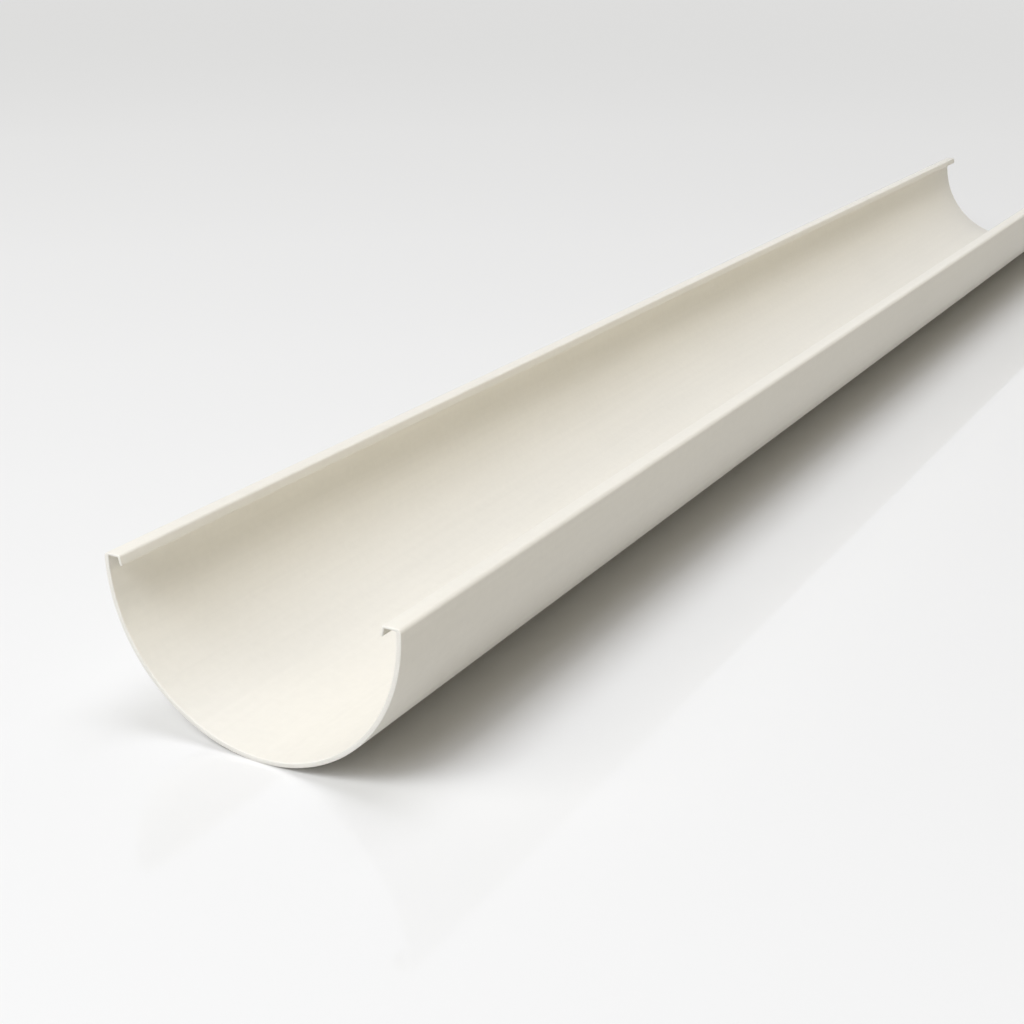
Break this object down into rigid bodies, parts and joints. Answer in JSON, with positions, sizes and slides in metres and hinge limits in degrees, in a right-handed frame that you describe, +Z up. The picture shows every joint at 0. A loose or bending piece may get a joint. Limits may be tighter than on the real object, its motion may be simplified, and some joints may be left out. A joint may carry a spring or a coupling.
{
  "type": "half-round gutter section",
  "caption": "Half-round plastic rain gutter length, open on top, with inward lips along both rims that a bracket clips over, sawn square at the ends.",
  "frame": {"origin": "middle of the length, on the lowest line of the round outside", "axes": "+Y along the gutter, +Z up out of the open side, +X across it"},
  "size_m": [0.12, 1, 0.0627],
  "materials": {
    "cream_pvc": "satin extruded cream PVC-U"
  },
  "bodies": {
    "root": {"gutter_profile": "cream_pvc"}
  },
  "joints": []
}
